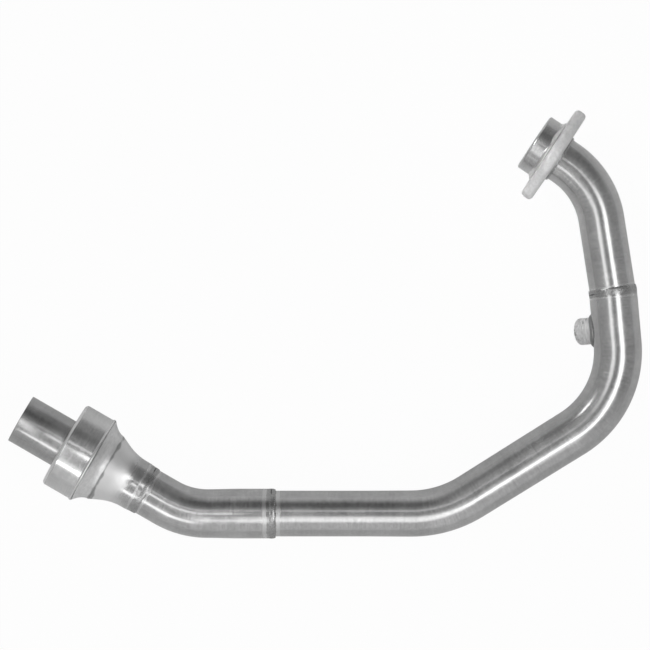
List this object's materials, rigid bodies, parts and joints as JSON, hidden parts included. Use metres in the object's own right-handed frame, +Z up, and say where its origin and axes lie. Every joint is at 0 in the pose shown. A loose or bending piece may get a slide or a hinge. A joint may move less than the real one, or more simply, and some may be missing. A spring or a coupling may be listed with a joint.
{
  "type": "exhaust header pipe",
  "caption": "Bent stainless header pipe with a stud flange and port ring at one end, a sensor bung on its side, and a flared drum with a straight stub at the outlet.",
  "frame": {"origin": "centre of the underside of the box round the pipe as it lies on its side, on the surface it rests on", "axes": "+X along the pipe's longest extent, from the outlet stub toward the bend below the port; +Y toward the port end; +Z up, out of the surface it lies on"},
  "size_m": [0.482, 0.3264, 0.0701],
  "materials": {
    "tube_steel": "satin polished stainless tube",
    "turned_steel": "turned stainless",
    "flange_steel": "matt blasted steel plate",
    "weld_metal": "weld bead, wire brushed"
  },
  "bodies": {
    "root": {"port_ring": "turned_steel", "head_flange": "flange_steel", "flange_weld": "weld_metal", "upper_pipe": "tube_steel", "upper_weld": "weld_metal", "lower_pipe": "tube_steel", "sensor_bung": "turned_steel", "sensor_bung_weld": "weld_metal", "middle_weld": "weld_metal", "rear_pipe": "tube_steel", "rear_weld": "weld_metal", "flare_cone": "tube_steel", "collar_cap": "tube_steel", "collar_cup": "tube_steel", "stub_weld": "weld_metal", "outlet_stub": "tube_steel"}
  },
  "joints": []
}
